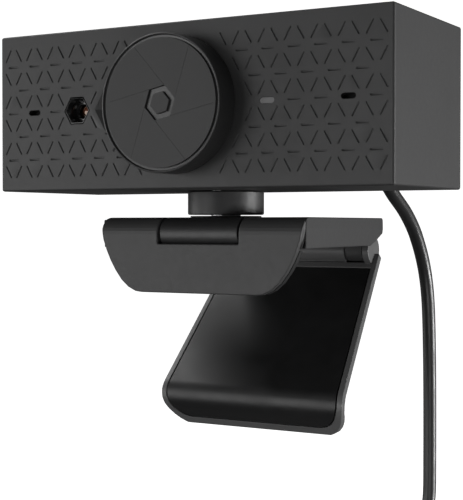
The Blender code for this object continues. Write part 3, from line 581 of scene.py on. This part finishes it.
CORD_LENGTH = 1.5
best = min((abs(length_of(whole_route(n / 60)) - CORD_LENGTH), n / 60) for n in range(150, 186))
route = whole_route(best[1])
print("cord length", round(length_of(route), 4), "turns a lane", best[1])
cu = bpy.data.curves.new("usb_cord", "CURVE")
cu.dimensions = "3D"
cu.bevel_depth = CABLE_D / 2 * MM
cu.bevel_resolution = 4
cu.use_fill_caps = True
sp = cu.splines.new("POLY")
sp.points.add(len(route) - 1)
for p, q in zip(sp.points, route):
    p.co = (*at(*q), 1)
sp.use_smooth = True
cu.materials.append(M["jacket"])
cord = bpy.data.objects.new("usb_cord", cu)
bpy.context.scene.collection.objects.link(cord)
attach(cord, "head")
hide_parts("usb_cable", "cable_coil", "plug_lead")

# strain relief: a flanged, ribbed, tapering sleeve
bm = bmesh.new()
prof = [(1.8, 35.0), (3.8, 35.0), (3.8, 36.5), (2.55, 36.6), (2.55, 38.2)]
y = 38.4
while y < 45.2:
    r = 2.6 - (y - 38.2) * 0.075
    prof += [(r - 0.3, y), (r - 0.3, y + 0.28), (r, y + 0.36), (r, y + 0.86), (r - 0.3, y + 0.94)]
    y += 1.02
prof += [(2.02, 45.4), (2.02, 46.5), (1.86, 46.66), (1.8, 46.66)]
prof = [(r, h - 5.6) for r, h in prof]
lathe_closed(bm, prof, (CX, 5.6, 5.6), "Y", 48)
gland = from_bm("ribbed_strain_relief", bm, "head", "cable_gland", slot="cable_jacket", mat=M["rubber"], angle=40)

# plug: overmould with finger ribs, metal shell with latch windows, tongue with contacts
bm = bmesh.new()
g0, g1 = GRIP_TOP - 33.0, GRIP_TOP - 8.0


def rounded_rect(hx, hy, r, z, steps=6):
    pts = []
    for sx, sy, a0 in ((1, 1, 0), (-1, 1, 90), (-1, -1, 180), (1, -1, 270)):
        for k in range(steps + 1):
            a = math.radians(a0 + 90 * k / steps)
            pts.append(at(CX + sx * (hx - r) + r * math.cos(a), TAIL_Y + sy * (hy - r) + r * math.sin(a), z))
    return pts


rings = [rounded_rect(7.3, 3.4, 1.5, g0), rounded_rect(7.8, 3.95, 1.6, g0 + 0.5)]
for k in range(7):
    z = g0 + 7.5 + k * 1.5
    rings += [rounded_rect(7.85, 3.98, 1.6, z - 0.3), rounded_rect(7.5, 3.65, 1.5, z),
              rounded_rect(7.5, 3.65, 1.5, z + 0.5), rounded_rect(7.85, 3.98, 1.6, z + 0.8)]
rings += [rounded_rect(7.8, 3.95, 1.8, g1 - 3.0), rounded_rect(6.6, 3.7, 2.4, g1 - 1.0),
          rounded_rect(5.0, 3.4, 2.6, g1)]
for k in range(6):
    z = g1 + 0.2 + k * 1.35
    r = 3.25 - k * 0.17
    rings += [rounded_rect(r - 0.4, r - 0.4, r - 0.45, z), rounded_rect(r - 0.4, r - 0.4, r - 0.45, z + 0.3),
              rounded_rect(r, r, r - 0.05, z + 0.45), rounded_rect(r, r, r - 0.05, z + 1.05),
              rounded_rect(r - 0.4, r - 0.4, r - 0.45, z + 1.15)]
rings += [rounded_rect(2.1, 2.1, 2.05, g1 + 8.6)]
loft(bm, rings)
grip = from_bm("plug_overmould", bm, "head", "plug_grip", slot="cable_jacket", mat=M["jacket"], angle=50)
bm = node_bm("plug_shell")
shell_me = bevelled(mesh_of(bm), 0.12, 2, 50)
bm = bmesh.new()
for s in (-1, 1):
    box_bm(bm, (CX + s * 2.9 - 1.1, TAIL_Y - 4, GRIP_TOP - 40.2), (CX + s * 2.9 + 1.1, TAIL_Y + 4, GRIP_TOP - 38.0))
shell_me = cut(shell_me, mesh_of(bm))
plug_shell = new_object("plug_metal_shell", shell_me, "head", "plug_shell", slot="steel", mat=M["shellsteel"], angle=40)
bm = bmesh.new()
box_bm(bm, (CX - 5.2, TAIL_Y - 1.5, GRIP_TOP - 44.8), (CX + 5.2, TAIL_Y + 0.05, GRIP_TOP - 34.4))
tongue = new_object("plug_contact_tongue", bevelled(mesh_of(bm), 0.15, 2), "head", "plug_tongue",
                    slot="tongue_white", mat=M["tongue"], angle=40)
bm = bmesh.new()
for dx in (-3.5, -1.1, 1.1, 3.5):
    box_bm(bm, (CX + dx - 0.5, TAIL_Y + 0.02, GRIP_TOP - 44.0), (CX + dx + 0.5, TAIL_Y + 0.2, GRIP_TOP - 35.4))
contacts = new_object("plug_contacts", bevelled(mesh_of(bm), 0.05, 1), "head", slot="steel", mat=M["gold"], angle=40)

# the hook-and-loop tie: a strap round the winding
TIE_A = math.radians(-40)
mid_r, thick = (11.4 + 25.4) / 2, 7.0


def strap_ring(half_x, half_r, r, t):
    pts = []
    for sx, sy, a0 in ((1, 1, 0), (-1, 1, 90), (-1, -1, 180), (1, -1, 270)):
        for k in range(7):
            a = math.radians(a0 + 90 * k / 6)
            u = sx * (half_x - r) + r * math.cos(a)
            v = sy * (half_r - r) + r * math.sin(a)
            rr = mid_r + v
            pts.append(at(COIL[0] + u, COIL[1] + rr * math.cos(TIE_A) - t * math.sin(TIE_A),
                          COIL[2] + rr * math.sin(TIE_A) + t * math.cos(TIE_A)))
    return pts


bm = bmesh.new()
layers = [(8.75, 8.75, 2.6, -3.2), (8.85, 8.85, 2.6, -3.45), (8.2, 8.2, 2.2, -3.48), (7.95, 7.95, 2.0, -3.2),
          (7.95, 7.95, 2.0, 3.2), (8.2, 8.2, 2.2, 3.48), (8.85, 8.85, 2.6, 3.45), (8.75, 8.75, 2.6, 3.2)]
loft(bm, [strap_ring(*q) for q in layers + layers[:1]], False, False)
bmesh.ops.remove_doubles(bm, verts=bm.verts, dist=1e-7)
tie = from_bm("cable_strap", bm, "head", "cable_tie", slot="rubber_black", mat=M["tie"], angle=50)

# ============================================================ head: grooved shell
P, H = 6.16, 5.44
slits = bmesh.new()
SLIT_D = 0.32
SLANT = math.atan2(2 * H / 2, P / 2 * 1.0)      # lattice edges lean 60 degrees
for side in (1, -1):
    for k in range(-3, 3):                       # between lattice rows k and k + 1
        z = MID_Z + H * (k + 0.5)
        level = max(k, -k - 1)                   # 0 next to the middle, 2 at the rims
        first = {0: 1, 1: 0, 2: -1}[level]
        if side < 0 and level == 0:
            first = 3
        for j in range(first, 12):
            x = 13.86 + 3.08 * j
            if side < 0 and level == 0 and j in (4, 5):
                continue                          # the lens takes a hexagon of the lattice
            upper_odd = (k + 1) % 2 != 0
            odd_is_right = j % 2 == 0
            lean_right = upper_odd == odd_is_right
            ang = math.radians(60.5) if lean_right else math.radians(119.5)
            if side < 0:
                ang = math.pi - ang
            prism(slits, slot_outline(side * x, z, 3.3, 0.42, ang), -1.0, SLIT_D)
    for k in (-2, -1, 0, 1, 2):
        z = MID_Z + H * k
        if k % 2 == 0:
            xs = [15.4 + P * m for m in range(6)]
        else:
            xs = [18.48 + P * m for m in range(5)]
        for x in xs:
            if k == 0 and side > 0 and (abs(x - 15.4) < 0.1 or abs(x - 21.56) < 0.1 or abs(x - 40.04) < 0.1):
                continue
            if k == 0 and side < 0 and (x < 30 or abs(x - 40.04) < 0.1):
                continue
            prism(slits, slot_outline(side * x, z, 3.07, 0.52), -1.0, SLIT_D)
bmesh.ops.recalc_face_normals(slits, faces=slits.faces)
shell_me = cut(mesh_of(node_bm("front_housing", 0.3)), mesh_of(slits))
housing = new_object("grooved_housing", shell_me, "head", "front_housing", slot="head_plastic", mat=M["shell"],
                     angle=50)

# the cover's track: a frame of sloping facets set into the panel's recess
T = math.tan(math.radians(60))


def hexagon(x0, x1, half, y):
    tip = half / T
    return [at(x0, y, MID_Z), at(x0 + tip, y, MID_Z - half), at(x1 - tip, y, MID_Z - half), at(x1, y, MID_Z),
            at(x1 - tip, y, MID_Z + half), at(x0 + tip, y, MID_Z + half)]


bm = bmesh.new()
loft(bm, [hexagon(-22.76, 9.96, 4.76, 0.02), hexagon(-20.2, 7.4, 2.55, 1.12), hexagon(-20.2, 7.4, 2.55, 1.18),
          hexagon(-22.76, 9.96, 4.76, 1.18), hexagon(-22.76, 9.96, 4.76, 0.02)], False, False)
bmesh.ops.remove_doubles(bm, verts=bm.verts, dist=1e-7)
track = from_bm("track_facets", bm, "head", slot="head_plastic", mat=M["cover"], angle=10)

# lens bezel: hexagonal mouth running into a round throat
HX = -27.8
bm = bmesh.new()


def hex_ring(r, y, n=48, round_to=0.0):
    pts = []
    for k in range(n):
        a = math.tau * k / n
        b = (a + math.pi / 6) % (math.pi / 3) - math.pi / 6
        # vertices left and right: the flat sides face up and down
        c = (a % (math.pi / 3)) - math.pi / 6
        rh = r * math.cos(math.pi / 6) / math.cos(c)
        rr = rh * (1 - round_to) + r * round_to
        pts.append(at(HX + rr * math.cos(a), y, MID_Z + rr * math.sin(a)))
    return pts


loft(bm, [hex_ring(3.28, 0.06), hex_ring(3.16, 0.05), hex_ring(2.45, 0.95, round_to=0.8),
          hex_ring(2.35, 1.05, round_to=1.0), hex_ring(2.3, 2.55, round_to=1.0), hex_ring(3.25, 2.58),
          hex_ring(3.28, 2.5), hex_ring(3.28, 0.06)], False, False)
bmesh.ops.remove_doubles(bm, verts=bm.verts, dist=1e-7)
from_bm("lens_mouth", bm, "head", "lens_bezel", slot="gloss_black", mat=M["gloss"], angle=22)
# retaining ring and the domed front glass
bm = bmesh.new()
lathe_closed(bm, [(2.26, 2.62), (1.72, 2.62), (1.5, 3.0), (1.5, 3.15), (2.26, 3.15)], (HX, 0, MID_Z), "Y", 48)
from_bm("lens_retaining_ring", bm, "head", slot="dark_plastic", mat=M["gloss"], angle=30)
bm = bmesh.new()
prof = [(0.0, 3.28)] + [(1.98 * math.sin(math.radians(a)) * 1.0, 3.28 + 1.0 * (1 - math.cos(math.radians(a))))
                        for a in range(8, 81, 8)] + [(1.98, 4.45), (0.0, 4.45)]
lathe(bm, prof, (HX, 0, MID_Z), "Y", 64)
from_bm("front_glass", bm, "head", "front_lens", slot="lens_glass", mat=M["lens"], angle=40)

# flush light guide, and the microphones' acoustic screens deep in their slots
bm = bmesh.new()
prism(bm, slot_outline(21.4, MID_Z, 3.46, 1.30, steps=10), 0.04, 2.28)
prism(bm, slot_outline(21.4, MID_Z, 5.8, 3.2, steps=10), 2.30, 3.3)
prism(bm, slot_outline(21.4, MID_Z, 2.9, 0.8, steps=10), 3.32, 10.3)
bmesh.ops.recalc_face_normals(bm, faces=bm.faces)
new_object("status_light_guide", bevelled(mesh_of(bm), 0.05, 2, 50), "head", "light_pipe", slot="light_guide",
           mat=M["light"], angle=40)
for side, x in (("left", -40.0), ("right", 40.0)):
    bm = bmesh.new()
    prism(bm, slot_outline(x, MID_Z, 3.3, 1.2, steps=10), 1.75, 2.28)
    prism(bm, slot_outline(x, MID_Z, 4.6, 2.8, steps=10), 2.30, 3.05)
    bmesh.ops.recalc_face_normals(bm, faces=bm.faces)
    new_object("acoustic_screen_" + side, bevelled(mesh_of(bm), 0.05, 1, 50), "head", "mic_screen_" + side,
               slot="rubber_black", mat=M["screen"], angle=40)
    # a black sleeve on the slot's walls: painted shade standing in for the dark of the deep slot
    bm = bmesh.new()
    loft(bm, [[at(px, 0.03, pz) for px, pz in slot_outline(x, MID_Z, 3.38, 1.28, steps=10)],
              [at(px, 0.03, pz) for px, pz in slot_outline(x, MID_Z, 3.22, 1.12, steps=10)],
              [at(px, 1.72, pz) for px, pz in slot_outline(x, MID_Z, 3.22, 1.12, steps=10)],
              [at(px, 1.72, pz) for px, pz in slot_outline(x, MID_Z, 3.38, 1.28, steps=10)],
              [at(px, 0.03, pz) for px, pz in slot_outline(x, MID_Z, 3.38, 1.28, steps=10)]], False, False)
    bmesh.ops.remove_doubles(bm, verts=bm.verts, dist=1e-8)
    from_bm("slot_shade_lining_" + side, bm, "head", slot="rubber_black", mat=M["screen"], angle=40)

# rear cover with softened edges, and its four cross-recess screws
bm = node_bm("rear_cover")
new_object("rear_panel", bevelled(mesh_of(bm), 0.25, 2, 50), "head", "rear_cover", slot="head_plastic",
           mat=M["shell"], angle=40)
for i, (x, z) in enumerate([(sx * 45.4, z) for sx in (-1, 1) for z in (5.2, 31.2)], 1):
    bm = bmesh.new()
    lathe(bm, [(0.0, 38.66), (0.7, 38.64), (1.35, 38.55), (1.7, 38.35), (1.8, 38.1), (1.8, 38.0), (0.8, 38.0),
               (0.8, 29.6), (0.0, 29.6)], (x, 0, z), "Y", 32)
    me = mesh_of(bm)
    bm = bmesh.new()
    box_bm(bm, (x - 0.9, 38.15, z - 0.17), (x + 0.9, 39.5, z + 0.17))
    me = cut(me, mesh_of(bm))
    bm = bmesh.new()
    box_bm(bm, (x - 0.17, 38.15, z - 0.9), (x + 0.17, 39.5, z + 0.9))
    me = cut(me, mesh_of(bm))
    new_object(f"cross_screw_{i}", me, "head", f"housing_screw_{i}", slot="steel", mat=M["zinc"], angle=35)

# neck: a turned collar with a fine step where it meets the ring
bm = bmesh.new()
lathe_closed(bm, [(8.5, -0.2), (8.8, -0.45), (8.8, -5.2), (8.72, -5.42), (8.5, -5.54), (3.7, -5.54), (3.7, -0.2)],
             (0, 19.85, 0), "Z", 96)
from_bm("turned_neck", bm, "head", "neck_collar", slot="dark_plastic", mat=M["neck"], angle=40)

# ============================================================ privacy cover
CXC = -1.0
bm = bmesh.new()
lathe(bm, [(0.0, -6.12), (13.30, -6.12), (13.55, -6.16), (14.42, -6.20), (14.52, -6.32), (14.56, -6.62), (14.66, -6.78),
           (14.76, -6.80), (14.92, -6.72), (15.0, -6.52), (15.0, -0.75), (14.9, -0.5), (14.7, -0.4), (13.4, -0.4),
           (13.4, -4.4), (3.4, -4.4), (3.4, -0.4), (1.8, -0.4), (1.8, -4.1), (0.0, -4.1)],
      (CXC, 0, MID_Z), "Y", 128)
bmesh.ops.recalc_face_normals(bm, faces=bm.faces)
me = mesh_of(bm)
me.materials.append(M["cover"])
me.materials.append(M["channel"])
me.shade_smooth()
me.set_sharp_from_angle(angle=math.radians(32))
for poly in me.polygons:
    c = poly.center
    if abs(c.y - at(0, -6.16, 0).y) < 0.09 * MM:
        poly.material_index = 1
disc = new_object("cover_body", me, "cover", "cover_disc", slot="head_plastic")

# the cover's face: six raised blades round a six-sided middle, an aperture
HEXR, RAD, GAPW = 3.9, 13.9, 1.3
ROT = math.radians(12)
verts = [Vector((HEXR * math.cos(ROT + k * math.pi / 3), HEXR * math.sin(ROT + k * math.pi / 3))) for k in range(6)]


def hit(p, d, r):
    b = p.dot(d)
    return p + d * (-b + math.sqrt(b * b - p.length_squared + r * r))


ends = []
for k in range(6):
    d = (verts[(k + 1) % 6] - verts[k]).normalized()
    ends.append(hit(verts[(k + 1) % 6], d, RAD))
bm = bmesh.new()
for k in range(6):
    a, b = verts[(k + 1) % 6], verts[(k + 2) % 6]
    pe, pk = ends[(k + 1) % 6], ends[k]
    a0, a1 = math.atan2(pk.y, pk.x), math.atan2(pe.y, pe.x)
    while a1 < a0:
        a1 += math.tau
    rim = [Vector((RAD * math.cos(a0 + (a1 - a0) * t / 28), RAD * math.sin(a0 + (a1 - a0) * t / 28)))
           for t in range(29)]
    poly = [a, b] + rim[::-1]
    f = bm.faces.new([bm.verts.new(at(CXC + q.x, -6.10, MID_Z + q.y)) for q in poly])
bmesh.ops.inset_individual(bm, faces=bm.faces[:], thickness=GAPW / 2 * MM, use_even_offset=True)
keep = [f for f in bm.faces if len(f.verts) > 8]
bmesh.ops.delete(bm, geom=[f for f in bm.faces if f not in keep], context="FACES")
out = bmesh.ops.extrude_face_region(bm, geom=bm.faces[:])
bmesh.ops.translate(bm, verts=[g for g in out["geom"] if isinstance(g, bmesh.types.BMVert)],
                    vec=Vector((0, -0.62 * MM, 0)))
bmesh.ops.recalc_face_normals(bm, faces=bm.faces)
blades = new_object("aperture_blades", bevelled(mesh_of(bm), 0.07, 2, 50), "cover", "cover_inlay",
                    slot="head_plastic", mat=M["pads"], angle=40)
# a small six-sided boss in the middle
bm = bmesh.new()


def hexr(r, y):
    return [at(CXC + r * math.cos(ROT + k * math.pi / 3), y, MID_Z + r * math.sin(ROT + k * math.pi / 3))
            for k in range(6)]


loft(bm, [hexr(2.5, -6.10), hexr(2.5, -6.62), hexr(2.4, -6.72), hexr(0.6, -6.72)])
from_bm("aperture_centre", bm, "cover", slot="head_plastic", mat=M["pads"], angle=12)

# ============================================================ clip, leg and plates
bm = node_bm("clip_frame", 0.8)
new_object("clip_body", bevelled(mesh_of(bm), 0.28, 3, 42), "clip", "clip_frame", slot="head_plastic",
           mat=M["clip"], angle=7)
bm = node_bm("tilt_plate", 0.5)
new_object("tilting_plate", bevelled(mesh_of(bm), 0.15, 2, 50), "tilt_arm", "tilt_plate", slot="dark_plastic",
           mat=M["dark"], angle=35)
bm = node_bm("leg_plate", 0.5)
new_object("leg_body", bevelled(mesh_of(bm), 0.16, 2, 55), "leg", "leg_plate", slot="dark_plastic",
           mat=M["leg"], angle=35)
bm = node_bm("leg_pad", 0.5)
new_object("leg_rubber", bevelled(mesh_of(bm), 0.1, 2, 55), "leg", "leg_pad", slot="rubber_black",
           mat=M["pad"], angle=35)

# ============================================================ floor and light
FLOOR_Z = -0.186
me = bpy.data.meshes.new("floor")
bm = bmesh.new()
R = 9.0
prof = [(-R, FLOOR_Z), (2.2, FLOOR_Z)] + [(2.2 + 1.2 * math.sin(math.radians(a)), FLOOR_Z + 1.2 * (1 - math.cos(math.radians(a))))
                                          for a in range(6, 91, 6)] + [(3.4, 5.0)]
rows = [[bm.verts.new((x, y, z)) for x in (-R, R)] for y, z in prof]
for a, b in zip(rows, rows[1:]):
    bm.faces.new((a[0], a[1], b[1], b[0]))
bm.to_mesh(me)
bm.free()
me.shade_smooth()
floor = bpy.data.objects.new("floor", me)
bpy.context.scene.collection.objects.link(floor)
fm = Mat("studio_paper")
fm.link(fm.ramp(fm.noise(60.0, 3.0), (0.3, (0.86, 0.86, 0.86)), (0.7, (0.90, 0.90, 0.90))), fm.p.inputs["Base Color"])
fm.set(Roughness=0.9, Emission_Color=(1, 1, 1, 1), Emission_Strength=1.0)
me.materials.append(fm.m)
for ray in ("visible_diffuse", "visible_glossy", "visible_transmission"):
    setattr(floor, ray, False)

world = bpy.data.worlds.new("studio")
bpy.context.scene.world = world
world.use_nodes = True
wt = world.node_tree
bg = wt.nodes["Background"]
bg.inputs["Color"].default_value = (1, 1, 1, 1)
bg.inputs["Strength"].default_value = 0.10
bright = wt.nodes.new("ShaderNodeBackground")
bright.inputs["Color"].default_value = (1, 1, 1, 1)
bright.inputs["Strength"].default_value = 1.05
path = wt.nodes.new("ShaderNodeLightPath")
mix = wt.nodes.new("ShaderNodeMixShader")
wt.links.new(path.outputs["Is Camera Ray"], mix.inputs["Fac"])
wt.links.new(bg.outputs["Background"], mix.inputs[1])
wt.links.new(bright.outputs["Background"], mix.inputs[2])
wt.links.new(mix.outputs["Shader"], wt.nodes["World Output"].inputs["Surface"])


def area(name, place, target, size, power, size_y=None):
    d = bpy.data.lights.new(name, "AREA")
    d.shape = "RECTANGLE"
    d.size = size
    d.size_y = size_y or size
    d.energy = power
    o = bpy.data.objects.new(name, d)
    bpy.context.scene.collection.objects.link(o)
    o.location = place
    o.rotation_euler = (Vector(target) - Vector(place)).to_track_quat("-Z", "Y").to_euler()
    return o


MIDDLE = (0.0, 0.0, 0.0)
area("key_front_left", (-0.57, -0.99, -0.12), MIDDLE, 0.7, 4.6)
area("side_left", (-1.10, -0.30, 0.10), MIDDLE, 0.35, 3.6)
area("top_left", (-0.82, -0.12, 0.86), (0.0, 0.02, -0.05), 0.34, 4.4)
area("side_right_rear", (1.1, 0.45, -0.30), (0.05, 0.0, 0.01), 0.5, 50.0)
area("low_right_front", (0.17, -0.27, -0.17), (0.04, 0.0, 0.0), 0.15, 0.36)
